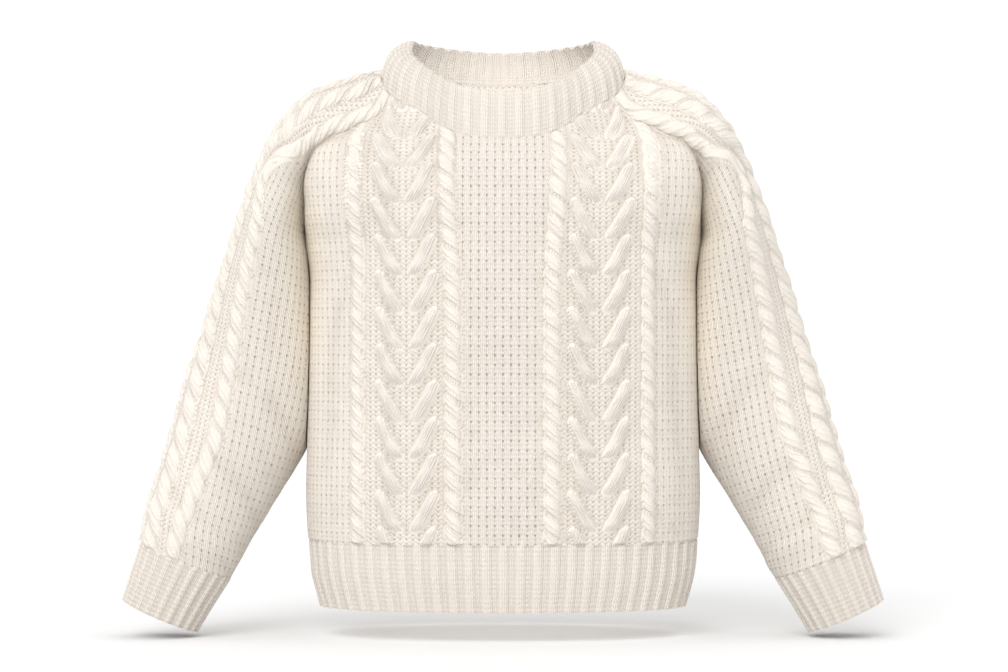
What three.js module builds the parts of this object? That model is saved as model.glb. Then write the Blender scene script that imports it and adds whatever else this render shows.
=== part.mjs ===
// Pullover of thick cable knit, filled out as it is worn, with nobody in it.
// Millimetres. +Z up, the front faces -Y, the wearer's left is +X.
// The origin is on the centre line at the height where the shoulders carry it.
// Each panel is a wall of constant thickness on a worked-out surface, and
// stops short of its seam lines so that neighbouring panels stay apart.
import * as THREE from 'three';

// ---- driving sizes -------------------------------------------------------
const WALL = 4.0;          // thickness of the knitted fabric
const SEAM_GAP = 0.35;     // space kept between two panels along a seam
const ARM_CLEAR = 6.0;     // space kept between a hanging sleeve and the body
const BODY_COLS = 24;      // facets across the front, and across the back
const ARM_COLS = 22;       // facets round a sleeve
const LOW_ROWS = 9;        // facets from the hem seam up to the underarm
const YOKE_ROWS = 8;       // facets from the underarm up to the neck seam
const TUBE_ROWS = 10;      // facets from the cuff seam up to the underarm
const RIB_ROWS = 2;        // facets up a hem or a cuff
const NECK_ROWS = 3;       // facets up the neckband

// ---- tables --------------------------------------------------------------
// Body sections below the underarm, one row per height. Half width, how far
// the front and the back stand out, and how square the section is.
const BODY = {
  hemEdge:   { z: -537, half: 189, front: 116, back: 113, square: 2.35 },
  hemMid:    { z: -503, half: 198, front: 121, back: 118, square: 2.35 },
  hemSeam:   { z: -468, half: 201, front: 124, back: 121, square: 2.35 },
  blouse:    { z: -430, half: 203, front: 127, back: 123, square: 2.4 },
  hip:       { z: -370, half: 202, front: 127, back: 122, square: 2.4 },
  waist:     { z: -300, half: 201, front: 127, back: 121, square: 2.4 },
  bust:      { z: -235, half: 200, front: 128, back: 121, square: 2.45 },
  armpit:    { z: -188, half: 200, front: 127, back: 122, square: 2.5 },
  underarm:  { z: -160, half: 205, front: 124, back: 122, square: 2.6 },
};

// Yoke, one row per level from the underarm to the neck seam: where the front
// raglan seam, the back raglan seam and the shoulder ridge of the sleeve lie,
// the centre line of the front and of the back, and the sleeve's half depth.
const YOKE = {
  underarm: { front: [205, 4, -160],   back: [205, 4, -160],   ridge: [271, 5, -128], cf: [-124, -160], cb: [122, -160], depth: 90, square: 2.6 },
  low:      { front: [204, -33, -128], back: [204, 40, -125],  ridge: [253, 5, -82],  cf: [-121, -132], cb: [122, -124], depth: 86, square: 2.7 },
  crook:    { front: [203, -50, -95],  back: [202, 58, -88],   ridge: [233, 4, -40],  cf: [-117, -108], cb: [121, -86],  depth: 80, square: 2.7 },
  point:    { front: [192, -60, -68],  back: [189, 70, -55],   ridge: [205, 3, -9],   cf: [-112, -90],  cb: [118, -54],  depth: 74, square: 2.5 },
  slope:    { front: [155, -59, -48],  back: [147, 72, -20],   ridge: [165, 1, 7],    cf: [-102, -71],  cb: [108, -18],  depth: 69, square: 2.2 },
  turn:     { front: [126, -53, -33],  back: [118, 66, 5],     ridge: [142, -1, 11],  cf: [-95, -61],   cb: [99, 3],     depth: 65, square: 2.1 },
  neck:     { front: [113, -46, -13],  back: [101, 60, 17],    ridge: [126, -3, 12],  cf: [-92, -57],   cb: [95, 12],    depth: 61, square: 2.0 },
};

// Neckband, one row per direction round the neck from the front centre to the
// back centre: its seam to the panels, its free edge, and how far it rolls out.
const NECK = {
  frontCentre: { seam: [0, -92, -57],    edge: [0, -76, -7],   roll: 3 },
  frontSide:   { seam: [55, -83, -49],   edge: [52, -67, 2],   roll: 4 },
  frontTurn:   { seam: [84, -69, -29],   edge: [75, -51, 17],  roll: 6 },
  frontCorner: { seam: [113, -46, -13],  edge: [92, -30, 33],  roll: 9 },
  shoulder:    { seam: [126, -3, 12],    edge: [93, 2, 49],    roll: 9 },
  backCorner:  { seam: [101, 60, 17],    edge: [84, 42, 50],   roll: 8 },
  backSide:    { seam: [54, 88, 13],     edge: [47, 62, 46],   roll: 5 },
  backCentre:  { seam: [0, 95, 12],      edge: [0, 66, 43],    roll: 4 },
};

// Sleeve rings below the underarm: inner and outer point of each ring seen
// from the front, its middle and half depth front to back, and squareness.
const ARM = {
  underarm: { inX: 205, inZ: -160, outX: 271, outZ: -128, midY: 5,   depth: 90, square: 2.0 },
  high:     { inX: 200, inZ: -196, outX: 283, outZ: -165, midY: 12,  depth: 88, square: 2.1 },
  upper:    { inX: 194, inZ: -245, outX: 300, outZ: -214, midY: 17,  depth: 83, square: 2.1 },
  bicep:    { inX: 191, inZ: -296, outX: 315, outZ: -262, midY: 17,  depth: 77, square: 2.1 },
  elbow:    { inX: 198, inZ: -350, outX: 330, outZ: -308, midY: 10,  depth: 71, square: 2.05 },
  forearm:  { inX: 219, inZ: -396, outX: 341, outZ: -350, midY: 1,   depth: 66, square: 2.0 },
  low:      { inX: 243, inZ: -439, outX: 354, outZ: -394, midY: -9,  depth: 60, square: 2.0 },
  gather:   { inX: 262, inZ: -472, outX: 365, outZ: -430, midY: -18, depth: 56, square: 2.0 },
  cuffSeam: { inX: 281, inZ: -507, outX: 373, outZ: -470, midY: -27, depth: 49, square: 2.0 },
  cuffMid:  { inX: 298, inZ: -534, outX: 382, outZ: -500, midY: -32, depth: 44, square: 2.0 },
  cuffEdge: { inX: 315, inZ: -562, outX: 391, outZ: -529, midY: -36, depth: 41, square: 2.0 },
};

// ---- small vector and curve helpers -------------------------------------
const add = (a, b, k = 1) => [a[0] + b[0] * k, a[1] + b[1] * k, a[2] + b[2] * k];
const sub = (a, b) => add(a, b, -1);
const mul = (a, k) => [a[0] * k, a[1] * k, a[2] * k];
const dot = (a, b) => a[0] * b[0] + a[1] * b[1] + a[2] * b[2];
const cross = (a, b) => [a[1] * b[2] - a[2] * b[1], a[2] * b[0] - a[0] * b[2], a[0] * b[1] - a[1] * b[0]];
const len = (a) => Math.hypot(a[0], a[1], a[2]);
const unit = (a) => mul(a, 1 / Math.max(len(a), 1e-9));
const mix = (a, b, t) => a + (b - a) * t;
const smooth = (t) => { const c = Math.min(1, Math.max(0, t)); return c * c * (3 - 2 * c); };
const rad = Math.PI / 180;

// Smooth curve through rows of numbers at the given knots. loop closes it.
function curve(knots, rows, loop = 0) {
  const n = rows.length;
  const at = (i) => {
    if (!loop) { const j = Math.min(n - 1, Math.max(0, i)); return [knots[j], rows[j]]; }
    const turn = Math.floor(i / n);
    return [knots[i - turn * n] + turn * loop, rows[i - turn * n]];
  };
  const slope = (i) => {
    const [ka, a] = at(i - 1), [kb, b] = at(i), [kc, c] = at(i + 1);
    if (ka === kb) return b.map((v, j) => (c[j] - v) / (kc - kb));
    if (kc === kb) return b.map((v, j) => (v - a[j]) / (kb - ka));
    const h0 = kb - ka, h1 = kc - kb;
    return b.map((v, j) => ((v - a[j]) / h0 * h1 + (c[j] - v) / h1 * h0) / (h0 + h1));
  };
  const slopes = rows.map((_, i) => slope(i));
  return (t) => {
    let q = t;
    if (loop) q = t - Math.floor((t - knots[0]) / loop) * loop;
    let i = 0;
    const last = loop ? n - 1 : n - 2;
    while (i < last && q > at(i + 1)[0]) i += 1;
    const [k0, a] = at(i), [k1, b] = at(i + 1);
    const h = k1 - k0, s = (q - k0) / h;
    const m0 = slopes[i], m1 = slopes[(i + 1) % n];
    const s2 = s * s, s3 = s2 * s;
    return a.map((v, j) => (2 * s3 - 3 * s2 + 1) * v + (s3 - 2 * s2 + s) * h * m0[j]
      + (3 * s2 - 2 * s3) * b[j] + (s3 - s2) * h * m1[j]);
  };
}

// Points of a polyline spread evenly along its length.
function even(points, count) {
  const run = [0];
  for (let i = 1; i < points.length; i += 1) run.push(run[i - 1] + len(sub(points[i], points[i - 1])));
  const total = run[run.length - 1];
  const out = [];
  let j = 0;
  for (let i = 0; i <= count; i += 1) {
    const want = total * i / count;
    while (j < run.length - 2 && run[j + 1] < want) j += 1;
    const f = (want - run[j]) / Math.max(run[j + 1] - run[j], 1e-9);
    out.push(add(points[j], sub(points[j + 1], points[j]), f));
  }
  return out;
}
const power = (v, p) => Math.sign(v) * Math.abs(v) ** p;
const chordKnots = (points) => {
  const k = [0];
  for (let i = 1; i < points.length; i += 1) k.push(k[i - 1] + len(sub(points[i], points[i - 1])));
  return k;
};

// ---- body surface --------------------------------------------------------
const bodyRows = Object.values(BODY);
const bodyAt = curve(bodyRows.map((r) => r.z), bodyRows.map((r) => [r.half, r.front, r.back, r.square]));

const yokeRows = Object.values(YOKE);
const yokeKnots = chordKnots(yokeRows.map((r) => r.front)).map((k, _, all) => k / all[all.length - 1]);
const yokeAt = curve(yokeKnots, yokeRows.map((r) => [...r.front, ...r.back, ...r.ridge, ...r.cf, ...r.cb, r.depth, r.square]));
function yoke(s) {
  const v = yokeAt(s);
  return { front: v.slice(0, 3), back: v.slice(3, 6), ridge: v.slice(6, 9), cf: v.slice(9, 11), cb: v.slice(11, 13), depth: v[13], square: v[14] };
}

// Neck seam and free edge as closed curves with the same parameter.
const neckHalf = Object.values(NECK);
const neckLoop = [...neckHalf, ...neckHalf.slice(1, -1).reverse().map((r) => ({
  seam: [-r.seam[0], r.seam[1], r.seam[2]], edge: [-r.edge[0], r.edge[1], r.edge[2]], roll: r.roll,
}))];
const neckKnots = chordKnots(neckLoop.map((r) => r.seam));
const neckLength = neckKnots[neckKnots.length - 1] + len(sub(neckLoop[0].seam, neckLoop[neckLoop.length - 1].seam));
const neckAt = curve(neckKnots, neckLoop.map((r) => [...r.seam, ...r.edge, r.roll]), neckLength);
const FRONT_CORNER = neckKnots[3];
const BACK_CORNER = neckKnots[5];

// One row of a body panel from its right edge to its left edge. side is -1
// for the front and 1 for the back, edge the seam point on +X, mid the centre.
function bodyRow(edge, mid, square, cols) {
  const fine = [];
  for (let i = 0; i <= 160; i += 1) {
    const a = (i / 160 * 2 - 1) * 90 * rad;
    const c = Math.abs(Math.cos(a)) ** (2 / square);
    fine.push([edge[0] * power(Math.sin(a), 2 / square), mix(edge[1], mid[0], c), mix(edge[2], mid[1], c * c)]);
  }
  return even(fine, cols);
}
// Parameters spread evenly along a stretch of the neck seam.
function neckStops(from, to, cols) {
  const ts = [], run = [0];
  for (let i = 0; i <= 160; i += 1) ts.push(mix(from, to, i / 160));
  const pts = ts.map((t) => neckAt(t).slice(0, 3));
  for (let i = 1; i <= 160; i += 1) run.push(run[i - 1] + len(sub(pts[i], pts[i - 1])));
  const stops = [];
  let j = 0;
  for (let i = 0; i <= cols; i += 1) {
    const want = run[160] * i / cols;
    while (j < 159 && run[j + 1] < want) j += 1;
    stops.push(mix(ts[j], ts[j + 1], (want - run[j]) / (run[j + 1] - run[j])));
  }
  return stops;
}
const FRONT_STOPS = neckStops(-FRONT_CORNER, FRONT_CORNER, BODY_COLS);
const LEFT_STOPS = neckStops(FRONT_CORNER, BACK_CORNER, ARM_COLS);
const BACK_STOPS = neckStops(BACK_CORNER, neckLength - BACK_CORNER, BODY_COLS);
const RIGHT_STOPS = LEFT_STOPS.map((t) => neckLength - t).reverse();
const neckPoints = (stops) => stops.map((t) => neckAt(t).slice(0, 3));
function bodyPanel(front) {
  const rows = [];
  for (let r = 0; r < LOW_ROWS; r += 1) {
    const z = mix(BODY.hemSeam.z, BODY.underarm.z, r / LOW_ROWS);
    const [half, f, b, square] = bodyAt(z);
    const t = smooth((z - BODY.armpit.z) / (BODY.underarm.z - BODY.armpit.z));
    rows.push(bodyRow([half, 4 * t, z], [front ? -f : b, z], square, BODY_COLS));
  }
  const top = neckPoints(front ? FRONT_STOPS : [...BACK_STOPS].reverse());
  const arch = (s) => {
    const y = yoke(s);
    return bodyRow(front ? y.front : y.back, front ? y.cf : y.cb, y.square, BODY_COLS);
  };
  const last = arch(1);
  for (let r = 0; r <= YOKE_ROWS; r += 1) {
    const s = r / YOKE_ROWS;
    rows.push(arch(s).map((p, i) => add(p, sub(top[i], last[i]), s ** 3)));
  }
  return rows;
}
function hemPanel(front) {
  const rows = [];
  for (let r = 0; r <= RIB_ROWS; r += 1) {
    const z = mix(BODY.hemEdge.z, BODY.hemSeam.z, r / RIB_ROWS);
    const [half, f, b, square] = bodyAt(z);
    rows.push(bodyRow([half, 0, z], [front ? -f : b, z], square, BODY_COLS));
  }
  return rows;
}

// ---- sleeve surface ------------------------------------------------------
const armRows = Object.values(ARM);
const armNames = Object.keys(ARM);
const armKnots = chordKnots(armRows.map((r) => [(r.inX + r.outX) / 2, r.midY, (r.inZ + r.outZ) / 2]));
const armAt = curve(armKnots, armRows.map((r) => [r.inX, r.inZ, r.outX, r.outZ, r.midY, r.depth, r.square]));
const armKnot = (name) => armKnots[armNames.indexOf(name)];

// A ring of the sleeve, from the underarm seam round the front and back.
function armRing(t, cols) {
  const [inX, inZ, outX, outZ, midY, depth, square] = armAt(t);
  const free = smooth((t - armKnot('elbow')) / (armKnot('low') - armKnot('elbow')));
  const fine = [];
  for (let i = 0; i <= 160; i += 1) {
    const a = i / 160 * 360 * rad;
    const c = power(Math.cos(a), 2 / square), s = power(Math.sin(a), 2 / square);
    const p = [mix((inX + outX) / 2, inX, c), midY - depth * s, mix((inZ + outZ) / 2, inZ, c)];
    // A sleeve that hangs against the body lies flat on its side, just clear.
    const [half, f, b, sq] = bodyAt(Math.max(BODY.hemEdge.z, Math.min(BODY.underarm.z, p[2])));
    const reach = (p[1] < 0 ? f : b) + ARM_CLEAR;
    const clear = ARM_CLEAR * smooth((BODY.underarm.z - p[2]) / 24);
    const rest = Math.max(0, 1 - (Math.abs(p[1]) / reach) ** sq);
    const side = (half + clear) * rest ** (1 / sq);
    if (p[0] < side && free < 1) p[0] = mix(side, p[0], free);
    fine.push(p);
  }
  return even(fine, cols);
}
// A row of the cap, from the front raglan seam over the ridge to the back.
function capRow(s, cols) {
  const y = yoke(s);
  const gap = sub(y.back, y.front);
  const across = unit(add(gap, [0, 0.5, 0]));
  const mid = mul(add(y.front, y.back), 0.5);
  const open = Math.PI - Math.asin(Math.min(0.999, len(gap) / 2 / y.depth));
  const fine = [];
  for (let i = 0; i <= 160; i += 1) {
    const a = mix(-open, open, i / 160);
    const out = (Math.cos(a) - Math.cos(open)) / (1 - Math.cos(open));
    fine.push(add(add(mid, sub(y.ridge, mid), out), across, y.depth * Math.sin(a)));
  }
  return even(fine, cols);
}
function sleevePanel() {
  const rows = [];
  const seam = armKnot('cuffSeam');
  for (let r = 0; r < TUBE_ROWS; r += 1) rows.push(armRing(mix(seam, 0, r / TUBE_ROWS), ARM_COLS));
  const ring = armRing(0, ARM_COLS), flat = capRow(0, ARM_COLS);
  const top = neckPoints(LEFT_STOPS), last = capRow(1, ARM_COLS);
  for (let r = 0; r <= YOKE_ROWS; r += 1) {
    const s = r / YOKE_ROWS;
    rows.push(capRow(s, ARM_COLS).map((p, i) => add(add(p, sub(ring[i], flat[i]), (1 - s) ** 4), sub(top[i], last[i]), s ** 3)));
  }
  return rows;
}
function cuffPanel() {
  const rows = [];
  const edge = armKnot('cuffEdge'), seam = armKnot('cuffSeam');
  for (let r = 0; r <= RIB_ROWS; r += 1) rows.push(armRing(mix(edge, seam, r / RIB_ROWS), ARM_COLS));
  return rows;
}

// ---- neckband surface ----------------------------------------------------
// Its columns meet those of the panels below: front, sleeve, back, sleeve.
function neckPanel() {
  const stops = [FRONT_STOPS, LEFT_STOPS, BACK_STOPS, RIGHT_STOPS].flatMap((a) => a.slice(0, -1));
  const rows = [];
  for (let r = 0; r <= NECK_ROWS; r += 1) {
    const v = r / NECK_ROWS;
    rows.push(stops.map((t) => {
      const p = neckAt(t);
      const seam = p.slice(0, 3), edge = p.slice(3, 6);
      // the band rolls: it stands out half way up
      const lift = p[6] * Math.sin(Math.PI * v);
      const out = unit([seam[0] - edge[0], seam[1] - edge[1], 30]);
      return add(add(seam, sub(edge, seam), v), out, lift);
    }));
  }
  rows.forEach((row) => row.push(row[0]));
  return rows;
}

// ---- panels --------------------------------------------------------------
// wrap: rows below this index close on themselves. free: which end rows are
// open edges of the garment and not seams.
const mirror = (rows) => rows.map((row) => row.map((p) => [-p[0], p[1], p[2]]));
const panels = [
  { name: 'body_front', rows: bodyPanel(true), wrap: 0, free: [] },
  { name: 'body_back', rows: bodyPanel(false), wrap: 0, free: [], flip: true },
  { name: 'hem_front', rows: hemPanel(true), wrap: 0, free: ['start'] },
  { name: 'hem_back', rows: hemPanel(false), wrap: 0, free: ['start'], flip: true },
  { name: 'sleeve_left', rows: sleevePanel(), wrap: TUBE_ROWS + 1, free: [] },
  { name: 'sleeve_right', rows: mirror(sleevePanel()), wrap: TUBE_ROWS + 1, free: [], flip: true },
  { name: 'cuff_left', rows: cuffPanel(), wrap: 99, free: ['start'] },
  { name: 'cuff_right', rows: mirror(cuffPanel()), wrap: 99, free: ['start'], flip: true },
  { name: 'neckband', rows: neckPanel(), wrap: 99, free: ['end'] },
];

// ---- from surface to wall ------------------------------------------------
// Points closer than a twentieth of a millimetre are one point of a seam.
const cells = new Map();
const ids = [];
function keyOf(p) {
  const cell = p.map((v) => Math.round(v));
  for (let i = -1; i <= 1; i += 1) for (let j = -1; j <= 1; j += 1) for (let k = -1; k <= 1; k += 1) {
    for (const id of cells.get([cell[0] + i, cell[1] + j, cell[2] + k].join()) ?? []) {
      if (len(sub(ids[id], p)) < 0.05) return id;
    }
  }
  const k = cell.join();
  if (!cells.has(k)) cells.set(k, []);
  cells.get(k).push(ids.length);
  ids.push(p);
  return ids.length - 1;
}
const shared = new Map();   // seam point -> normals and inward directions
for (const panel of panels) {
  const { rows } = panel;
  panel.normals = new Map();
  for (let r = 0; r + 1 < rows.length; r += 1) {
    for (let c = 0; c + 1 < rows[r].length; c += 1) {
      const a = rows[r][c], b = rows[r][c + 1], d = rows[r + 1][c], e = rows[r + 1][c + 1];
      let n = cross(sub(e, a), sub(d, b));
      if (panel.flip) n = mul(n, -1);
      for (const p of [a, b, d, e]) {
        const k = keyOf(p);
        panel.normals.set(k, add(panel.normals.get(k) ?? [0, 0, 0], n));
      }
    }
  }
  for (const [k, n] of panel.normals) {
    const u = unit(n);
    panel.normals.set(k, u);
    if (!shared.has(k)) shared.set(k, { normals: [], inward: [] });
    shared.get(k).normals.push(u);
  }
  // directions from each seam point into its own panel
  panel.inward = rows.map((row, r) => row.map((p, c) => {
    const dirs = [];
    const endRow = rows.length - 1, endCol = row.length - 1;
    if (r === 0 && !panel.free.includes('start')) dirs.push(unit(sub(rows[1][c], p)));
    if (r === endRow && !panel.free.includes('end')) dirs.push(unit(sub(rows[r - 1][c], p)));
    const slit = r === panel.wrap - 1 && r < endRow && (c === 0 || c === endCol);
    if (slit) dirs.push(unit(sub(rows[r - 1][c], p)));
    if (r >= panel.wrap && c === 0) dirs.push(unit(sub(row[1], p)));
    if (r >= panel.wrap && c === endCol) dirs.push(unit(sub(row[c - 1], p)));
    for (const d of dirs) shared.get(keyOf(p)).inward.push({ panel, d });
    return dirs;
  }));
}

function wallOf(panel) {
  const { rows } = panel;
  const outer = [], inner = [];
  rows.forEach((row, r) => {
    outer.push([]); inner.push([]);
    row.forEach((p, c) => {
      const at = shared.get(keyOf(p));
      const sum = at.normals.reduce((a, n) => add(a, n), [0, 0, 0]);
      const n = unit(sum);
      const lean = at.normals.reduce((a, m) => a + dot(m, n), 0) / at.normals.length;
      const depth = WALL / Math.max(0.62, lean);
      let shift = [0, 0, 0];
      for (const d of panel.inward[r][c]) {
        let half = 90 * rad;
        for (const other of at.inward) {
          if (other.panel === panel) continue;
          half = Math.min(half, Math.acos(Math.max(-1, Math.min(1, dot(d, other.d)))) / 2);
        }
        shift = add(shift, d, Math.min(1.4, SEAM_GAP / 2 / Math.max(Math.sin(half), 0.05)));
      }
      outer[r].push(add(p, shift));
      inner[r].push(add(add(p, n, -depth), shift));
    });
  });
  return { outer, inner };
}

function meshOf(panel) {
  const { outer, inner } = wallOf(panel);
  const points = [], index = [], seen = new Map();
  const id = (p) => {
    const k = p.map((v) => Math.round(v * 1000)).join();
    if (!seen.has(k)) { seen.set(k, points.length / 3); points.push(...p); }
    return seen.get(k);
  };
  const tri = (a, b, c) => {
    const i = id(a), j = id(b), k = id(c);
    if (i === j || j === k || i === k) return;
    if (panel.flip) index.push(i, k, j); else index.push(i, j, k);
  };
  const quad = (a, b, c, d) => {
    if (len(sub(a, c)) <= len(sub(b, d))) { tri(a, b, c); tri(a, c, d); } else { tri(a, b, d); tri(b, c, d); }
  };
  const R = outer.length - 1, C = outer[0].length - 1;
  for (let r = 0; r < R; r += 1) {
    for (let c = 0; c < C; c += 1) {
      quad(outer[r][c], outer[r][c + 1], outer[r + 1][c + 1], outer[r + 1][c]);
      quad(inner[r][c], inner[r + 1][c], inner[r + 1][c + 1], inner[r][c + 1]);
    }
  }
  for (let c = 0; c < C; c += 1) {
    quad(outer[0][c], inner[0][c], inner[0][c + 1], outer[0][c + 1]);
    quad(outer[R][c], outer[R][c + 1], inner[R][c + 1], inner[R][c]);
  }
  for (let r = Math.max(0, panel.wrap - 1); r < R; r += 1) {
    quad(outer[r][0], outer[r + 1][0], inner[r + 1][0], inner[r][0]);
    quad(outer[r][C], inner[r][C], inner[r + 1][C], outer[r + 1][C]);
  }
  const geometry = new THREE.BufferGeometry();
  geometry.setAttribute('position', new THREE.Float32BufferAttribute(points, 3));
  geometry.setIndex(index);
  geometry.computeVertexNormals();
  const material = new THREE.MeshStandardMaterial({ color: new THREE.Color(0.87, 0.82, 0.75), roughness: 0.95 });
  material.name = panel.name;
  const mesh = new THREE.Mesh(geometry, material);
  mesh.name = panel.name;
  return mesh;
}

const group = new THREE.Group();
group.name = 'cable_knit_sweater';
for (const panel of panels) group.add(meshOf(panel));

export default group;
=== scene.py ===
# Looks of the knitted pullover: every panel is rebuilt as a thin closed shell
# on the surface of its solid, with cables, moss stitch, ribs and soft folds.
import math
import numpy as np
import bpy
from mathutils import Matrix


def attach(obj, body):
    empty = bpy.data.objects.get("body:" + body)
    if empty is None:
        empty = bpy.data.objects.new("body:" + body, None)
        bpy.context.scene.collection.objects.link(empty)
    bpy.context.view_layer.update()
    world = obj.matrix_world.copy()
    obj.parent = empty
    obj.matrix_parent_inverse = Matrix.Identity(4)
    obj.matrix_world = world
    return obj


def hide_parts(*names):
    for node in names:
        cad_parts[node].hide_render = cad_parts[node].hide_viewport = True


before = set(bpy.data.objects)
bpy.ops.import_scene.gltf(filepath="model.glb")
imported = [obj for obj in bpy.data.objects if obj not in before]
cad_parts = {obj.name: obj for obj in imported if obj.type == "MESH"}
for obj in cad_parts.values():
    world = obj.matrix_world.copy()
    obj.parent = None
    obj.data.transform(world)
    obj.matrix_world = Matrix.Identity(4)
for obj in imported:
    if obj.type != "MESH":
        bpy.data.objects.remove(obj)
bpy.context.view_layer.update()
MM = 0.001

# ---------------------------------------------------------------- sizes, mm
ARM_CLEAR = 6.0
ST = 4.05          # width of one stitch
ROW = 4.76         # height of one row
SHELL = 3.2        # fabric behind the relief

BODY = dict(
    hemEdge=(-537, 189, 116, 113, 2.35), hemMid=(-503, 198, 121, 118, 2.35),
    hemSeam=(-468, 201, 124, 121, 2.35), blouse=(-430, 203, 127, 123, 2.4),
    hip=(-370, 202, 127, 122, 2.4), waist=(-300, 201, 127, 121, 2.4),
    bust=(-235, 200, 128, 121, 2.45), armpit=(-188, 200, 127, 122, 2.5),
    underarm=(-160, 205, 124, 122, 2.6))
# front raglan, back raglan, ridge, front centre, back centre, depth, square
YOKE = dict(
    underarm=((205, 4, -160), (205, 4, -160), (271, 5, -128), (-124, -160), (122, -160), 90, 2.6),
    low=((204, -33, -128), (204, 40, -125), (253, 5, -82), (-121, -132), (122, -124), 86, 2.7),
    crook=((203, -50, -95), (202, 58, -88), (233, 4, -40), (-117, -108), (121, -86), 80, 2.7),
    point=((192, -60, -68), (189, 70, -55), (205, 3, -9), (-112, -90), (118, -54), 74, 2.5),
    slope=((155, -59, -48), (147, 72, -20), (165, 1, 7), (-102, -71), (108, -18), 69, 2.2),
    turn=((126, -53, -33), (118, 66, 5), (142, -1, 11), (-95, -61), (99, 3), 65, 2.1),
    neck=((113, -46, -13), (101, 60, 17), (126, -3, 12), (-92, -57), (95, 12), 61, 2.0))
NECK = dict(
    frontCentre=((0, -92, -57), (0, -76, -7), 3), frontSide=((55, -83, -49), (52, -67, 2), 4),
    frontTurn=((84, -69, -29), (75, -51, 17), 6), frontCorner=((113, -46, -13), (92, -30, 33), 9),
    shoulder=((126, -3, 12), (93, 2, 49), 9), backCorner=((101, 60, 17), (84, 42, 50), 8),
    backSide=((54, 88, 13), (47, 62, 46), 5), backCentre=((0, 95, 12), (0, 66, 43), 4))
# inner x, inner z, outer x, outer z, middle y, half depth, square
ARM = dict(
    underarm=(205, -160, 271, -128, 5, 90, 2.0), high=(200, -196, 283, -165, 12, 88, 2.1),
    upper=(194, -245, 300, -214, 17, 83, 2.1), bicep=(191, -296, 315, -262, 17, 77, 2.1),
    elbow=(198, -350, 330, -308, 10, 71, 2.05), forearm=(219, -396, 341, -350, 1, 66, 2.0),
    low=(243, -439, 354, -394, -9, 60, 2.0), gather=(262, -472, 365, -430, -18, 56, 2.0),
    cuffSeam=(281, -507, 373, -470, -27, 49, 2.0), cuffMid=(298, -534, 382, -500, -32, 44, 2.0),
    cuffEdge=(315, -562, 391, -529, -36, 41, 2.0))


# ------------------------------------------------------------ curve helpers
def smooth(t):
    t = np.clip(t, 0.0, 1.0)
    return t * t * (3 - 2 * t)


def power(v, p):
    return np.sign(v) * np.abs(v) ** p


def chords(points):
    p = np.asarray(points, float)
    return np.concatenate([[0.0], np.cumsum(np.linalg.norm(np.diff(p, axis=0), axis=1))])


class Curve:
    """Smooth curve through rows of numbers; loop closes it."""

    def __init__(self, knots, rows, loop=0.0):
        k = np.asarray(knots, float)
        r = np.asarray(rows, float)
        if loop:
            k = np.concatenate([k, [k[0] + loop]])
            r = np.vstack([r, r[:1]])
        h = np.diff(k)
        d = np.diff(r, axis=0) / h[:, None]
        m = np.zeros_like(r)
        for i in range(1, len(k) - 1):
            m[i] = (d[i - 1] * h[i] + d[i] * h[i - 1]) / (h[i - 1] + h[i])
        if loop:
            m[0] = m[-1] = (d[-1] * h[0] + d[0] * h[-1]) / (h[0] + h[-1])
        else:
            m[0], m[-1] = d[0], d[-1]
        self.k, self.r, self.m, self.h, self.loop = k, r, m, h, loop

    def __call__(self, t):
        t = np.asarray(t, float)
        if self.loop:
            t = (t - self.k[0]) % self.loop + self.k[0]
        i = np.clip(np.searchsorted(self.k, t, side="right") - 1, 0, len(self.k) - 2)
        h = self.h[i]
        s = (t - self.k[i]) / h
        s2, s3 = s * s, s * s * s
        e = lambda a: a[..., None]
        return (e(2 * s3 - 3 * s2 + 1) * self.r[i] + e((s3 - 2 * s2 + s) * h) * self.m[i]
                + e(3 * s2 - 2 * s3) * self.r[i + 1] + e((s3 - s2) * h) * self.m[i + 1])


def along(points, fracs):
    """Points at fractions of a polyline's length."""
    run = chords(points)
    w = np.asarray(fracs) * run[-1]
    return np.stack([np.interp(w, run, points[:, j]) for j in range(3)], axis=1)


# -------------------------------------------------------------- body surface
body_rows = sorted(BODY.values())
body_at = Curve([r[0] for r in body_rows], [r[1:] for r in body_rows])
yoke_rows = list(YOKE.values())
yk = chords([r[0] for r in yoke_rows])
yoke_at = Curve(yk / yk[-1], [[*r[0], *r[1], *r[2], *r[3], *r[4], r[5], r[6]] for r in yoke_rows])

neck_half = list(NECK.values())
neck_rows = [[*a, *b, c] for a, b, c in neck_half]
neck_rows += [[-r[0], r[1], r[2], -r[3], r[4], r[5], r[6]] for r in reversed(neck_rows[1:-1])]
nk = chords([r[:3] for r in neck_rows])
NECK_LEN = nk[-1] + np.linalg.norm(np.subtract(neck_rows[0][:3], neck_rows[-1][:3]))
neck_at = Curve(nk, neck_rows, NECK_LEN)
FRONT_CORNER, BACK_CORNER = nk[3], nk[5]


def neck_stops(t0, t1, fracs):
    ts = np.linspace(t0, t1, 481)
    run = chords(neck_at(ts)[:, :3])
    return np.interp(np.asarray(fracs) * run[-1], run, ts)


def body_row(edge, mid, square, fracs):
    a = np.radians(np.linspace(-90, 90, 721))
    c = np.abs(np.cos(a)) ** (2 / square)
    pts = np.stack([edge[0] * power(np.sin(a), 2 / square),
                    edge[1] + (mid[0] - edge[1]) * c,
                    edge[2] + (mid[1] - edge[2]) * c * c], axis=1)
    return along(pts, fracs)


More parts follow.
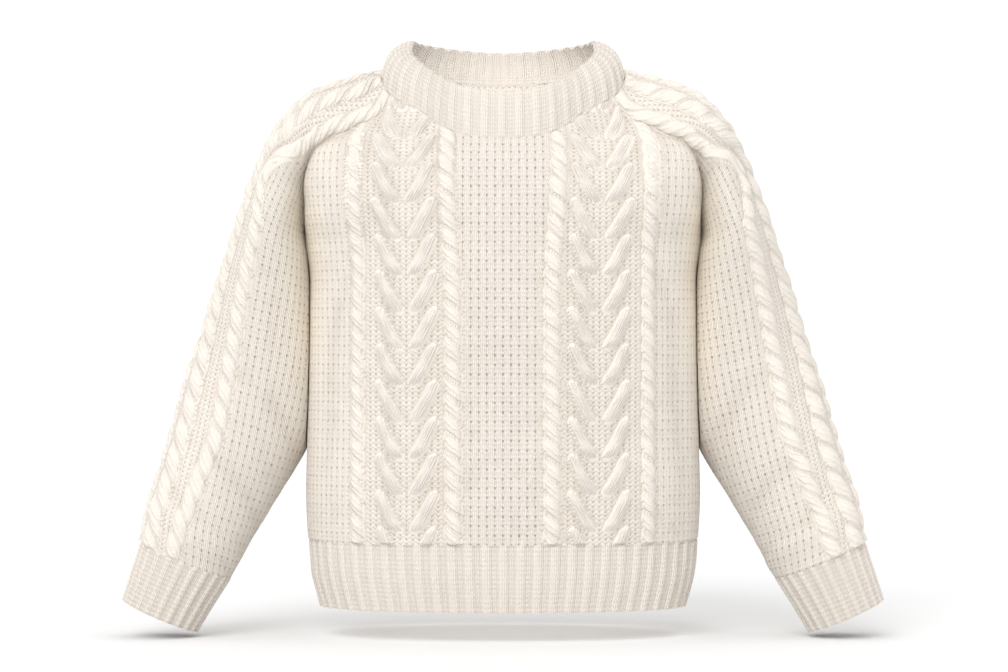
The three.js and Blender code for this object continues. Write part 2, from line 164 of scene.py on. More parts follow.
def body_grid(front, fracs, low, high):
    """Rows of the panel: low rows below the underarm, high rows above it."""
    rows = []
    for r in range(low):
        z = -468 + 308 * r / low
        half, f, b, sq = body_at(z)
        t = smooth((z + 188) / 28)
        rows.append(body_row((half, 4 * t, z), (-f if front else b, z), sq, fracs))
    if front:
        top = neck_at(neck_stops(-FRONT_CORNER, FRONT_CORNER, fracs))[:, :3]
    else:
        top = neck_at(neck_stops(NECK_LEN - BACK_CORNER, BACK_CORNER, fracs))[:, :3]

    def arch(s):
        v = yoke_at(s)
        e = v[0:3] if front else v[3:6]
        m = v[9:11] if front else v[11:13]
        return body_row(e, m, v[14], fracs)
    last = arch(1.0)
    for r in range(high + 1):
        s = r / high
        rows.append(arch(s) + (top - last) * s ** 3)
    return np.array(rows)


def hem_grid(front, fracs, n):
    rows = []
    for r in range(n + 1):
        z = -537 + 69 * r / n
        half, f, b, sq = body_at(z)
        rows.append(body_row((half, 0, z), (-f if front else b, z), sq, fracs))
    return np.array(rows)


# ------------------------------------------------------------ sleeve surface
arm_rows = list(ARM.values())
arm_names = list(ARM)
ak = chords([((r[0] + r[2]) / 2, r[4], (r[1] + r[3]) / 2) for r in arm_rows])
arm_at = Curve(ak, arm_rows)
arm_knot = lambda name: ak[arm_names.index(name)]


def arm_ring(t, fracs):
    ix, iz, ox, oz, my, dep, sq = arm_at(t)
    free = float(smooth((t - arm_knot("elbow")) / (arm_knot("low") - arm_knot("elbow"))))
    a = np.radians(np.linspace(0, 360, 721))
    c, s = power(np.cos(a), 2 / sq), power(np.sin(a), 2 / sq)
    x = (ix + ox) / 2 + (ix - ox) / 2 * c
    y = my - dep * s
    z = (iz + oz) / 2 + (iz - oz) / 2 * c
    b = body_at(np.clip(z, -537, -160))
    reach = np.where(y < 0, b[:, 1], b[:, 2]) + ARM_CLEAR
    clear = ARM_CLEAR * smooth((-160 - z) / 24)
    rest = np.maximum(0, 1 - (np.abs(y) / reach) ** b[:, 3])
    side = (b[:, 0] + clear) * rest ** (1 / b[:, 3])
    if free < 1:
        x = np.where(x < side, side + (x - side) * free, x)
    return along(np.stack([x, y, z], axis=1), fracs)


def cap_row(s, fracs):
    v = yoke_at(s)
    f, b, ridge, dep = v[0:3], v[3:6], v[6:9], v[13]
    gap = b - f
    across = gap + np.array([0, 0.5, 0])
    across = across / np.linalg.norm(across)
    mid = (f + b) / 2
    opening = math.pi - math.asin(min(0.999, np.linalg.norm(gap) / 2 / dep))
    a = np.linspace(-opening, opening, 721)
    out = (np.cos(a) - math.cos(opening)) / (1 - math.cos(opening))
    pts = mid + (ridge - mid) * out[:, None] + across * (dep * np.sin(a))[:, None]
    return along(pts, fracs)


def sleeve_grid(fracs, tube, cap):
    rows = []
    seam = arm_knot("cuffSeam")
    for r in range(tube):
        rows.append(arm_ring(seam * (1 - r / tube), fracs))
    ring, flat = arm_ring(0, fracs), cap_row(0, fracs)
    top = neck_at(neck_stops(FRONT_CORNER, BACK_CORNER, fracs))[:, :3]
    last = cap_row(1, fracs)
    for r in range(cap + 1):
        s = r / cap
        rows.append(cap_row(s, fracs) + (ring - flat) * (1 - s) ** 4 + (top - last) * s ** 3)
    return np.array(rows)


def cuff_grid(fracs, n):
    e, s = arm_knot("cuffEdge"), arm_knot("cuffSeam")
    return np.array([arm_ring(e + (s - e) * r / n, fracs) for r in range(n + 1)])


def neck_grid(ts, n):
    p = neck_at(ts)
    seam, edge, roll = p[:, :3], p[:, 3:6], p[:, 6:7]
    out = np.stack([seam[:, 0] - edge[:, 0], seam[:, 1] - edge[:, 1], np.full(len(ts), 30.0)], axis=1)
    out /= np.linalg.norm(out, axis=1)[:, None]
    return np.array([seam + (edge - seam) * v + out * roll * math.sin(math.pi * v)
                     for v in np.linspace(0, 1, n + 1)])


# ----------------------------------------------------------- grid utilities
def normals(grid, wrap, flip):
    """Unit normals; rows below wrap close on themselves."""
    R = grid.shape[0]
    du = np.gradient(grid, axis=1)
    w = min(wrap, R)
    if w > 0:
        seam = (grid[:w, 1] - grid[:w, -2]) / 2
        du[:w, 0] = seam
        du[:w, -1] = seam
    dv = np.gradient(grid, axis=0)
    if w > 0:
        both = (dv[:w, 0] + dv[:w, -1]) / 2
        dv[:w, 0] = both
        dv[:w, -1] = both
    n = np.cross(du, dv)
    n /= np.maximum(np.linalg.norm(n, axis=2, keepdims=True), 1e-9)
    return -n if flip else n


def spread(x, lo, hi, count, density):
    """count+1 values from lo to hi, closer together where density is high."""
    g = np.linspace(lo, hi, 4001)
    run = np.concatenate([[0], np.cumsum((density(g[1:]) + density(g[:-1])) / 2)])
    return np.interp(np.linspace(0, run[-1], count + 1), run, g)


def blur(h, n, wrap_cols=False):
    for axis in (0, 1):
        for _ in range(2):
            pad = [(0, 0), (0, 0)]
            pad[axis] = (n, n)
            p = np.pad(h, pad, mode="edge")
            c = np.cumsum(np.insert(p, 0, 0, axis=axis), axis=axis)
            k = 2 * n + 1
            if axis == 0:
                h = (c[k:] - c[:-k]) / k
            else:
                h = (c[:, k:] - c[:, :-k]) / k
    return h


def noise2(x, y, scale, seed):
    """Smooth seeded value noise on fabric coordinates."""
    rng = np.random.default_rng(seed)
    table = rng.random((64, 64)) * 2 - 1
    fx, fy = x / scale, y / scale
    ix, iy = np.floor(fx).astype(int), np.floor(fy).astype(int)
    tx, ty = smooth(fx - ix), smooth(fy - iy)
    g = lambda i, j: table[i % 64, j % 64]
    return ((g(ix, iy) * (1 - tx) + g(ix + 1, iy) * tx) * (1 - ty)
            + (g(ix, iy + 1) * (1 - tx) + g(ix + 1, iy + 1) * tx) * ty)


# --------------------------------------------------------- knitted patterns
class Cloth:
    """Height, yarn coordinates and masks over a panel's fabric coordinates."""

    def __init__(self, x, y):
        self.x, self.y = x, y
        self.h = np.zeros_like(x)
        self.u = x / ST
        self.v = y / ROW
        self.knit = np.zeros_like(x)
        self.purl = np.zeros_like(x)
        self.moss = np.ones_like(x)
        self.tone = np.zeros_like(x)
        self.painted_bounce = np.zeros_like(x)

    def raise_strand(self, height, mask, u, v):
        """Put a strand on top wherever it stands highest."""
        take = mask & (height > self.h)
        self.h = np.where(take, height, self.h)
        self.u = np.where(take, u, self.u)
        self.v = np.where(take, v, self.v)
        self.knit = np.where(take, 1.0, self.knit)
        self.purl = np.where(take, 0.0, self.purl)
        self.moss = np.where(take, 0.0, self.moss)

    def ground(self, d, half, depth=0.7, soft=2.0):
        """Purl ground of a band |d| < half, set a little back."""
        k = smooth((half - np.abs(d)) / soft + 0.5)
        self.h = self.h - depth * k
        self.purl = np.maximum(self.purl, k)
        self.moss = np.minimum(self.moss, 1 - k)

    def rope(self, d, width, pitch, height, phase=0.0, hand=1.0, lean=0.52, sts=1.5):
        """Two strands twisted round each other every pitch."""
        a = np.clip(d / (width / 2), -1.1, 1.1)
        ph = self.y / pitch + phase + hand * lean * np.arcsin(np.clip(a, -1, 1) * 0.97) / (math.pi / 2)
        f = ph - np.floor(ph)
        lobe = np.sin(math.pi * f) ** 0.6
        edge = np.clip(1 - (np.abs(d) / (width / 2 * (0.84 + 0.24 * lobe))) ** 2.4, 0, 1) ** 0.8
        h = height * edge * (0.30 + 0.70 * lobe)
        self.raise_strand(h - 0.6, (np.abs(a) < 1.08) & (edge > 0.05), f * sts,
                          0.18 * self.y / ROW)

    def arm(self, d, y0, pitch, inner, outer, foot, tip, height, wobble=0.0):
        """Travelling strands of a wheat cable, from a broad foot near the middle
        to a slimmer tip outwards and higher: d is the distance outwards."""
        q = (self.y - y0) / pitch
        base = np.floor(q)
        slope = (outer - inner) / (1.12 * pitch)
        cosa = 1 / math.sqrt(1 + slope * slope)
        for shift in (0.0, 1.0):
            g = (q - base + shift) / 1.12
            ok = g < 1.03
            sway = wobble * np.sin(2.4 * (base - shift) + 1.3)
            c = inner + (outer - inner) * g + sway + 1.2 * np.sin(math.pi * g)
            dd = (d - c) * cosa
            half = foot / 2 + (tip - foot) / 2 * g ** 1.3
            half = half * np.clip(1 - np.clip((0.20 - g) / 0.20, 0, 1) ** 2, 0.02, 1) ** 0.5
            half = half * np.clip(1 - np.clip((g - 0.90) / 0.12, 0, 1) ** 2, 0.02, 1) ** 0.5
            prof = np.clip(1 - (np.abs(dd) / half) ** 2.6, 0, 1) ** 0.8
            up = height * prof * (0.20 + 0.80 * smooth(g / 0.24)) * (1 - 0.35 * smooth((g - 0.75) / 0.25))
            self.raise_strand(up - 0.4, ok & (prof > 0.02), dd / (foot / 2) * 1.5 + 0.5, 0.18 * self.y / ROW)

    def plait(self, d, width, pitch, height, phase=0.0):
        """Broad cable: fat strands cross over each other from both sides."""
        w = width / 2
        for sgn, off in ((1.0, 0.0), (-1.0, 0.5)):
            q = self.y / pitch + phase + off
            base = np.floor(q)
            for shift in (0.0, 1.0):
                g = q - base + shift
                t = np.clip(g / 1.5, 0, 1)
                c = sgn * w * 0.50 * (-np.cos(math.pi * t))
                half = w * (0.34 + 0.20 * np.sin(math.pi * t))
                dd = (d - c) * 0.92
                prof = np.clip(1 - (np.abs(dd) / half) ** 2.3, 0, 1) ** 0.8
                up = height * prof * (0.40 + 0.60 * np.sin(math.pi * t) ** 0.7)
                self.raise_strand(up - 0.6, (g < 1.5) & (prof > 0.02), dd / half + 1.0, self.y / ROW * 1.1)

    def rib(self, phase, height, width=0.54):
        """Two by two rib; phase counts ribs across."""
        f = phase - np.floor(phase)
        a = np.abs(f - 0.5) / (width / 2)
        k = np.clip(1 - a ** 2.4, 0, 1) ** 0.7
        self.h = self.h + height * (k - 0.5)
        self.knit = np.where(a < 1, 1.0, 0.9)
        self.purl = np.where(a < 1, 0.0, 0.1)
        self.moss = np.zeros_like(self.h)
        self.u = phase * 4.0
        # painted shade: thin lines along the edges of the grooves between ribs, added to the hollow shade
        self.tone = 0.9 * np.exp(-((a - 1.02) / 0.14) ** 2) + 0.04 * (a > 1)
        self.v = self.y / ROW

    def fold(self, rows):
        """Soft troughs (minus) or ridges (plus): x, y, half length, half width, height, lean."""
        for fx, fy, long_, wide, up, lean in rows:
            ca, sa = math.cos(math.radians(lean)), math.sin(math.radians(lean))
            dx, dy = self.x - fx, self.y - fy
            p, q = dx * ca + dy * sa, -dx * sa + dy * ca
            bend = q + 0.10 * long_ * (p / long_) ** 2
            self.h = self.h + up * np.exp(-(p / long_) ** 2 * 1.6 - (bend / wide) ** 2 * 1.6)


def fabric_xy(grid, col0, up_from=None):
    """Across: level distance from the centre column. Up: run of the centre column at that height."""
    step = np.linalg.norm(np.diff(grid[:, :, :2], axis=1), axis=2)
    run = np.concatenate([np.zeros((grid.shape[0], 1)), np.cumsum(step, axis=1)], axis=1)
    x = run - run[:, col0:col0 + 1]
    centre = grid[:, col0]
    up = chords(centre)
    z = centre[:, 2]
    keep = np.concatenate([[True], np.diff(np.maximum.accumulate(z)) > 1e-6])
    y = np.interp(grid[:, :, 2], z[keep], up[keep])
    over = grid[:, :, 2] - z.max()
    y = np.where(over > 0, up[keep][-1] + over * 1.25, y)
    return x, y


# ---------------------------------------------------------------- materials
def knit_material(name, base, shade_colour, scale=1.0, crease_shade=0.26, purl_shade=0.24, leg_shade=0.07, stray=1.0):
    mat = bpy.data.materials.new(name)
    mat.use_nodes = True
    nt = mat.node_tree
    nt.nodes.clear()
    out = nt.nodes.new("ShaderNodeOutputMaterial")
    bsdf = nt.nodes.new("ShaderNodeBsdfPrincipled")
    nt.links.new(bsdf.outputs[0], out.inputs[0])

    def m(op, a, b=None, c=None, clamp=False):
        n = nt.nodes.new("ShaderNodeMath")
        n.operation = op
        n.use_clamp = clamp
        for i, v in enumerate((a, b, c)):
            if v is None:
                continue
            if isinstance(v, (int, float)):
                n.inputs[i].default_value = v
            else:
                nt.links.new(v, n.inputs[i])
        return n.outputs[0]

    def attr(nm):
        n = nt.nodes.new("ShaderNodeAttribute")
        n.attribute_name = nm
        return n.outputs["Fac"]

    uv = nt.nodes.new("ShaderNodeUVMap")
    uv.uv_map = "yarn"
    sep = nt.nodes.new("ShaderNodeSeparateXYZ")
    nt.links.new(uv.outputs[0], sep.inputs[0])
    U, V = sep.outputs[0], sep.outputs[1]
    # painted shade of the hollows of the relief, read from the mesh
    cav = attr("cavity_shade")
    whole = m("SUBTRACT", 1.0, attr("edge"), clamp=True)
    knit, purl, moss = (m("MULTIPLY", attr(nm), whole) for nm in ("knit", "purl", "moss"))
    coord = nt.nodes.new("ShaderNodeTexCoord")

    def noise(scale_, detail, rough=0.6, vec=None):
        n = nt.nodes.new("ShaderNodeTexNoise")
        n.inputs["Scale"].default_value = scale_
        n.inputs["Detail"].default_value = detail
        n.inputs["Roughness"].default_value = rough
        nt.links.new(vec or coord.outputs["Object"], n.inputs["Vector"])
        return n.outputs[0]
    drift = noise(260, 2)
    Uj = m("ADD", U, m("MULTIPLY", m("SUBTRACT", drift, 0.5), 0.38 * stray))
    Vj = m("ADD", V, m("MULTIPLY", m("SUBTRACT", noise(230, 2), 0.5), 0.62 * stray))
    pi2 = 2 * math.pi

    # plain knit: two legs a stitch, leaning out as they rise
    leg = m("SUBTRACT", 0.5, m("MULTIPLY", m("COSINE", m("MULTIPLY", Uj, 2 * pi2)), 0.5))
    tri = m("ABSOLUTE", m("SUBTRACT", m("MULTIPLY", m("FRACT", Uj), 2), 1))
    wave = m("ADD", 0.5, m("MULTIPLY", m("COSINE", m("MULTIPLY", m("SUBTRACT", Vj, m("MULTIPLY", tri, 0.62)), pi2)), 0.5))
    h_knit = m("MULTIPLY", leg, m("ADD", 0.55, m("MULTIPLY", wave, 0.45)))
    # moss: holes on a two by two lattice between upright bars
    cu = m("ADD", 0.5, m("MULTIPLY", m("COSINE", m("MULTIPLY", Uj, math.pi)), 0.5))
    cv = m("ADD", 0.5, m("MULTIPLY", m("COSINE", m("MULTIPLY", Vj, math.pi)), 0.5))
    between = m("MULTIPLY", m("POWER", m("SUBTRACT", 1.0, cv), 5.0), 0.30)
    hole = m("MULTIPLY", m("MULTIPLY", m("POWER", cu, 5.0), m("ADD", m("POWER", cv, 5.0), between)),
             m("ADD", 0.45, m("MULTIPLY", noise(75, 2), 1.1)))
    bars = m("SUBTRACT", 1.0, m("POWER", cu, 1.2))
    rung = m("SUBTRACT", 0.5, m("MULTIPLY", m("COSINE", m("MULTIPLY", Vj, pi2)), 0.5))
    h_moss = m("SUBTRACT", m("ADD", m("MULTIPLY", leg, m("ADD", 0.65, m("MULTIPLY", wave, 0.25))), m("MULTIPLY", rung, 0.05)), m("MULTIPLY", hole, 1.2))
    # purl: wavy rows of short bumps lying across
    zig = m("ABSOLUTE", m("SUBTRACT", m("MULTIPLY", m("FRACT", m("MULTIPLY", Uj, 0.62)), 2), 1))
    row = m("ADD", 0.5, m("MULTIPLY", m("COSINE", m("MULTIPLY", m("ADD", m("MULTIPLY", Vj, 1.0), m("MULTIPLY", zig, 0.55)), pi2)), 0.5))
    dot = m("MULTIPLY", m("POWER", m("SUBTRACT", 1.0, row), 2.0), m("POWER", zig, 3.0))
    pb = m("SUBTRACT", m("ADD", 0.40, m("MULTIPLY", row, 0.60)), m("MULTIPLY", dot, 0.9))
    h_purl = pb
    total = m("ADD", m("ADD", m("MULTIPLY", h_knit, knit), m("MULTIPLY", h_moss, moss)), m("MULTIPLY", h_purl, purl))
    fuzz = noise(1900, 3, 0.7)
    fine = m("ADD", total, m("MULTIPLY", fuzz, 0.22))
    bump = nt.nodes.new("ShaderNodeBump")
    bump.inputs["Strength"].default_value = 0.85
    bump.inputs["Distance"].default_value = 0.0014 * scale
    nt.links.new(fine, bump.inputs["Height"])
    nt.links.new(bump.outputs[0], bsdf.inputs["Normal"])

    # colour: cream wool with painted shade down the holes, between the strands, in the purl and in the hollows of the
    # relief, mixed toward the shade colour
    gaps = m("ADD", m("MULTIPLY", m("SUBTRACT", 1.0, leg), m("ADD", 0.05, m("MULTIPLY", rung, 0.06))), m("MULTIPLY", m("SUBTRACT", 1.0, bars), 0.03))
    speck = m("MULTIPLY", m("SUBTRACT", noise(900, 2, 0.7), 0.5), 0.22)
    pit_shade = m("ADD", m("ADD", m("MULTIPLY", m("ADD", m("MULTIPLY", hole, 0.66), gaps), moss),
                      m("MULTIPLY", m("MULTIPLY", m("SUBTRACT", 1.0, leg), knit), leg_shade)),
             m("MULTIPLY", m("MULTIPLY", m("SUBTRACT", 1.0, pb), purl), purl_shade))
    shade = m("ADD", m("ADD", pit_shade, m("MULTIPLY", speck, 0.5)), m("MULTIPLY", cav, crease_shade), clamp=True)
    tone = noise(9, 3, 0.55)
    ramp = nt.nodes.new("ShaderNodeMix")
    ramp.data_type = "RGBA"
    ramp.inputs["A"].default_value = (*[c * 0.965 for c in base], 1)
    ramp.inputs["B"].default_value = (*[min(1, c * 1.03) for c in base], 1)
    nt.links.new(tone, ramp.inputs["Factor"])
    # painted bounce light: where sleeve and body lie against each other the wool is painted a lighter, yellower cream
    # in place of light bounced between them
    glow = nt.nodes.new("ShaderNodeMix")
    glow.data_type = "RGBA"
    nt.links.new(attr("painted_bounce"), glow.inputs["Factor"])
    glow.inputs["B"].default_value = (*PAINTED_BOUNCE_COLOUR, 1)
    mixc = nt.nodes.new("ShaderNodeMix")
    mixc.data_type = "RGBA"
    nt.links.new(shade, mixc.inputs["Factor"])
    # painted highlight: the bars of the moss stand forward and are painted lighter as if they catch more light
    lit = nt.nodes.new("ShaderNodeMix")
    lit.data_type = "RGBA"
    nt.links.new(m("MULTIPLY", moss, m("ADD", 0.10, m("MULTIPLY", leg, 0.90))), lit.inputs["Factor"])
    nt.links.new(ramp.outputs["Result"], lit.inputs["A"])
    lit.inputs["B"].default_value = (*[min(1, c * 1.13) for c in base], 1)
    nt.links.new(lit.outputs["Result"], glow.inputs["A"])
    nt.links.new(glow.outputs["Result"], mixc.inputs["A"])
    mixc.inputs["B"].default_value = (*shade_colour, 1)
    nt.links.new(mixc.outputs["Result"], bsdf.inputs["Base Color"])
    bsdf.inputs["Roughness"].default_value = 0.92
    bsdf.inputs["Specular IOR Level"].default_value = 0.18
    bsdf.inputs["Sheen Weight"].default_value = 0.18
    bsdf.inputs["Sheen Roughness"].default_value = 0.5
    bsdf.inputs["Sheen Tint"].default_value = (1.0, 0.96, 0.9, 1)
    return mat


CREAM = (0.765, 0.712, 0.648)
# colour of the painted shade in holes, gaps and hollows
PAINTED_SHADE_COLOUR = (0.36, 0.28, 0.20)
# colour of the painted bounce light between sleeve and body
PAINTED_BOUNCE_COLOUR = (0.93, 0.85, 0.725)
MAT_BODY = knit_material("cream_knit", CREAM, PAINTED_SHADE_COLOUR)
MAT_SLEEVE = knit_material("cream_knit_sleeve", CREAM, PAINTED_SHADE_COLOUR)
MAT_RIB = knit_material("cream_rib", [c * 1.09 for c in CREAM], PAINTED_SHADE_COLOUR, crease_shade=0.20, purl_shade=0.03, leg_shade=0.12, stray=0.3)


# ------------------------------------------------------------- shell builder
def build(name, grid, nrm, cloth, wrap, flip, coarse, mat, free=(), taper=2.0, inner_grid=None, soften=False, dip=0.0):
    """Closed shell: fine outer face with relief, coarser inner face, edges between."""
    R, C = grid.shape[0] - 1, grid.shape[1] - 1
    h = blur(cloth.h, 1) if soften else cloth.h.copy()
    if soften:
        for nm in ("knit", "purl", "moss"):
            setattr(cloth, nm, blur(getattr(cloth, nm), 1))
    # relief dies away at the seams, where the panels are sewn together
    up = np.minimum.accumulate(np.ones(1))
    dist_r = np.concatenate([[np.zeros(C + 1)], np.cumsum(np.linalg.norm(np.diff(grid, axis=0), axis=2), axis=0)])
    dist_c = np.concatenate([np.zeros((R + 1, 1)), np.cumsum(np.linalg.norm(np.diff(grid, axis=1), axis=2), axis=1)], axis=1)
    w = np.ones_like(h)
    if "start" not in free:
        w = np.minimum(w, smooth(dist_r / taper))
    if "end" not in free:
        w = np.minimum(w, smooth((dist_r[-1] - dist_r) / taper))
    slit = smooth(np.minimum(dist_c, dist_c[:, -1:] - dist_c) / taper)
    w[wrap:] = np.minimum(w[wrap:], slit[wrap:])
    if 0 < wrap <= R:
        w[:wrap] = np.minimum(w[:wrap], slit[:wrap])
    seam_dip = dip * (1 - w)
    h = h * w - seam_dip
    if wrap > R:
        h[:, -1] = h[:, 0]
    elif wrap > 0:
        h[:wrap, -1] = h[:wrap, 0]
    outer = grid + nrm * h[..., None]
    # painted shade: how deep each point lies in the hollows of the relief, a little more along the seams, plus the rib
    # groove lines; the material mixes this toward the shade colour
    cav = np.clip((blur(h, 3) - h) / 1.3, 0, 1) * 0.8 + np.clip((blur(h, 7) - h) / 3.0, 0, 1) * 0.5
    cav = np.clip(cav + (1 - w) * 0.06 + cloth.tone, 0, 1)

    # yarn detail fades where one strand ends and the next begins
    jump = np.zeros_like(h)
    for f in (cloth.u, cloth.v):
        for ax in (0, 1):
            d = np.abs(np.diff(f, axis=ax)) > 0.9
            if ax == 0:
                jump[:-1][d] = 1
                jump[1:][d] = 1
            else:
                jump[:, :-1][d] = 1
                jump[:, 1:][d] = 1

    k = coarse
    ig = grid[::k, ::k] - nrm[::k, ::k] * SHELL
    if inner_grid is not None:
        ig = inner_grid[::k, ::k]
    r2, c2 = ig.shape[0] - 1, ig.shape[1] - 1
    oid = np.arange((R + 1) * (C + 1)).reshape(R + 1, C + 1)
    iid = np.arange((r2 + 1) * (c2 + 1)).reshape(r2 + 1, c2 + 1) + (R + 1) * (C + 1)
    raw = [oid.copy(), iid.copy()]
    wr = min(wrap, R + 1)
    wi = min((wrap - 1) // k + 1, r2 + 1) if wrap > 0 else 0
    oid[:wr, -1] = oid[:wr, 0]
    iid[:wi, -1] = iid[:wi, 0]

    def quads(o, i):
        return np.concatenate([np.stack([o[:-1, :-1].ravel(), o[:-1, 1:].ravel(), o[1:, 1:].ravel(), o[1:, :-1].ravel()], axis=1),
                               np.stack([i[:-1, :-1].ravel(), i[1:, :-1].ravel(), i[1:, 1:].ravel(), i[:-1, 1:].ravel()], axis=1)])
    tris = []

    def strip(o, i, back):
        """Fan between a fine outer edge and a coarse inner edge."""
        for s in range(len(i) - 1):
            mid = s * k + k // 2
            for q in range(s * k, s * k + k):
                t = i[s] if q < mid else i[s + 1]
                tris.append((o[q], t, o[q + 1]) if back else (o[q + 1], t, o[q]))
            t3 = (o[mid], i[s], i[s + 1])
            tris.append(t3 if back else t3[::-1])
    strip(oid[0], iid[0], True)
    strip(oid[R], iid[r2], False)
    if wrap <= R:
        r0 = max(0, wrap - 1)
        strip(oid[r0:, 0], iid[r0 // k:, 0], False)
        strip(oid[r0:, C], iid[r0 // k:, c2], True)
    quad = quads(oid, iid)
    yarn_quad = quads(*raw)
    tri = np.array(tris, int)
    if flip:
        quad = quad[:, ::-1]
        yarn_quad = yarn_quad[:, ::-1]
        tri = tri[:, ::-1]
    verts = np.concatenate([outer.reshape(-1, 3), ig.reshape(-1, 3)]) * MM
    used = np.zeros(len(verts), bool)
    used[quad.ravel()] = True
    used[tri.ravel()] = True
    remap = np.cumsum(used) - 1
    yu = np.concatenate([cloth.u.ravel(), np.repeat(0.0, ig.shape[0] * ig.shape[1])])
    yv = np.concatenate([cloth.v.ravel(), np.repeat(0.0, ig.shape[0] * ig.shape[1])])
    iu, iv = cloth.x[::k, ::k] / ST, cloth.y[::k, ::k] / ROW
    if inner_grid is not None:
        iu, iv = cloth.u[::k, ::k], cloth.v[::k, ::k]
    yu[(R + 1) * (C + 1):] = iu.ravel()
    yv[(R + 1) * (C + 1):] = iv.ravel()
    layer = {}
    n_in = ig.shape[0] * ig.shape[1]
    # the inner face gets a flat painted shade of 0.12 plus the rib groove lines
    for nm, arr, inside in (("knit", cloth.knit, 0.0), ("purl", cloth.purl, 1.0), ("moss", cloth.moss, 0.0), ("cavity_shade", cav, 0.12), ("edge", jump, 0.0), ("painted_bounce", cloth.painted_bounce, 0.0)):
        if inner_grid is not None and nm in ("knit", "purl"):
            layer[nm] = np.concatenate([arr.ravel(), arr.ravel()])
        else:
            layer[nm] = np.concatenate([arr.ravel(), np.full(n_in, inside) + 0.8 * cloth.tone[::k, ::k].ravel() * (nm == "cavity_shade")])

    mesh = bpy.data.meshes.new(name)
    nv = int(used.sum())
    mesh.vertices.add(nv)
    mesh.vertices.foreach_set("co", verts[used].astype(np.float32).ravel())
    loops = np.concatenate([remap[quad].ravel(), remap[tri].ravel()]).astype(np.int32)
    mesh.loops.add(len(loops))
    mesh.loops.foreach_set("vertex_index", loops)
    starts = np.concatenate([np.arange(len(quad)) * 4, len(quad) * 4 + np.arange(len(tri)) * 3]).astype(np.int32)
    mesh.polygons.add(len(starts))
    mesh.polygons.foreach_set("loop_start", starts)
    mesh.polygons.foreach_set("use_smooth", np.ones(len(starts), bool))
    mesh.update(calc_edges=True)
    # crisp rims, so the faces beside a seam keep their own shading
    rim = np.zeros(len(verts), bool)
    for ids in (oid, iid):
        rim[ids[0]] = True
        rim[ids[-1]] = True
    if wrap <= R:
        rim[oid[r0:, 0]] = True
        rim[oid[r0:, C]] = True
        rim[iid[r0 // k:, 0]] = True
        rim[iid[r0 // k:, c2]] = True
    rim = rim[used]
    ev = np.empty(len(mesh.edges) * 2, np.int32)
    mesh.edges.foreach_get("vertices", ev)
    ev = ev.reshape(-1, 2)
    split = rim[ev[:, 0]] & rim[ev[:, 1]]
    sharp = mesh.attributes.new("sharp_edge", "BOOLEAN", "EDGE")
    sharp.data.foreach_set("value", split)
    uvl = mesh.uv_layers.new(name="yarn")
    orig = np.concatenate([yarn_quad.ravel(), tri.ravel()])
    uvl.data.foreach_set("uv", np.stack([yu[orig], yv[orig]], axis=1).astype(np.float32).ravel())
    for nm, arr in layer.items():
        at = mesh.attributes.new(nm, "FLOAT", "POINT")
        at.data.foreach_set("value", arr[used].astype(np.float32))
    mesh.validate()
    obj = bpy.data.objects.new(name, mesh)
    bpy.context.scene.collection.objects.link(obj)
    mesh.materials.append(mat)
    return obj


def declare(obj, node):
    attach(obj, "root")
    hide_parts(node)


# --------------------------------------------------------------- body panels
BODY_FOLDS = [  # x, y, half length, half width, height, lean
    (-150, 300, 90, 16, -2.2, 62), (160, 280, 80, 14, -2.0, -60),
    (-60, 60, 120, 22, -1.4, 8), (80, 95, 110, 20, 1.3, -6),
    (-190, 150, 120, 22, -2.0, 84), (195, 130, 130, 20, -2.2, -82),
    (20, 210, 150, 30, 1.0, 3),
]
BACK_FOLDS = [
    (-120, 330, 120, 22, -2.4, 55), (130, 320, 110, 20, -2.2, -52),
    (0, 120, 160, 30, 1.4, 4), (-150, 80, 110, 20, -1.8, 78), (160, 100, 100, 22, -2.0, -74),
]


def body_cloth(grid, col0, folds, seed):
    x, y = fabric_xy(grid, col0)
    c = Cloth(x, y)
    top = smooth((y - 250) / 130)
    r1 = 50.0 + 7.0 * top
    v0 = 98.0 + 4.0 * top
    r2 = 152.0
    for sgn in (-1, 1):
        c.ground(x - sgn * (r1 + r2) / 2, (r2 - r1) / 2 + 10.5)
    for sgn in (-1, 1):
        c.rope(x - sgn * r1, 17.0, 18.9, 5.6, phase=0.2 + 0.3 * (sgn > 0))
        c.rope(x - sgn * r2, 15.5, 18.9, 5.0, phase=0.45)
        d = x - sgn * v0
        c.arm(d, 12.0, 36.9, 6.8, 28.5, 13.8, 10.0, 4.6, 0.7)
        c.arm(-d, 12.0, 36.9, 6.8, 28.5, 13.8, 10.0, 4.6, 0.6)
    side = smooth((np.abs(grid[..., 0]) - 172) / 24) * smooth((-145 - grid[..., 2]) / 30)
    c.h = c.h + (0.5 * noise2(x, y, 14, seed) + 0.9 * noise2(x, y, 55, seed + 1)) * (1 - side)
    c.fold(folds)
    c.h = c.h + 1.4 * side
    run = np.concatenate([np.zeros((grid.shape[0], 1)), np.cumsum(np.linalg.norm(np.diff(grid, axis=1), axis=2), axis=1)], axis=1)
    rim = np.minimum(run, run[:, -1:] - run)
    under = smooth((-95 - grid[..., 2]) / 45)
    low = 1 - 0.8 * smooth((-240 - grid[..., 2]) / 90)
    c.moss = c.moss * (1 - 0.20 * smooth((np.abs(x) - 156) / 14))
    # painted bounce light along the armhole edges and down the sides beside the sleeves
    c.painted_bounce = np.maximum(np.exp(-(rim / 24) ** 2) * (1 - under) * smooth((-40 - grid[..., 2]) / 60),
                        smooth((np.abs(grid[..., 0]) - 172) / 26) * under * low)
    return c


def body_density(u):
    a = np.abs(u * 259.7)
    return np.where((a > 38) & (a < 163), 1 / 1.15, 1 / 2.45)


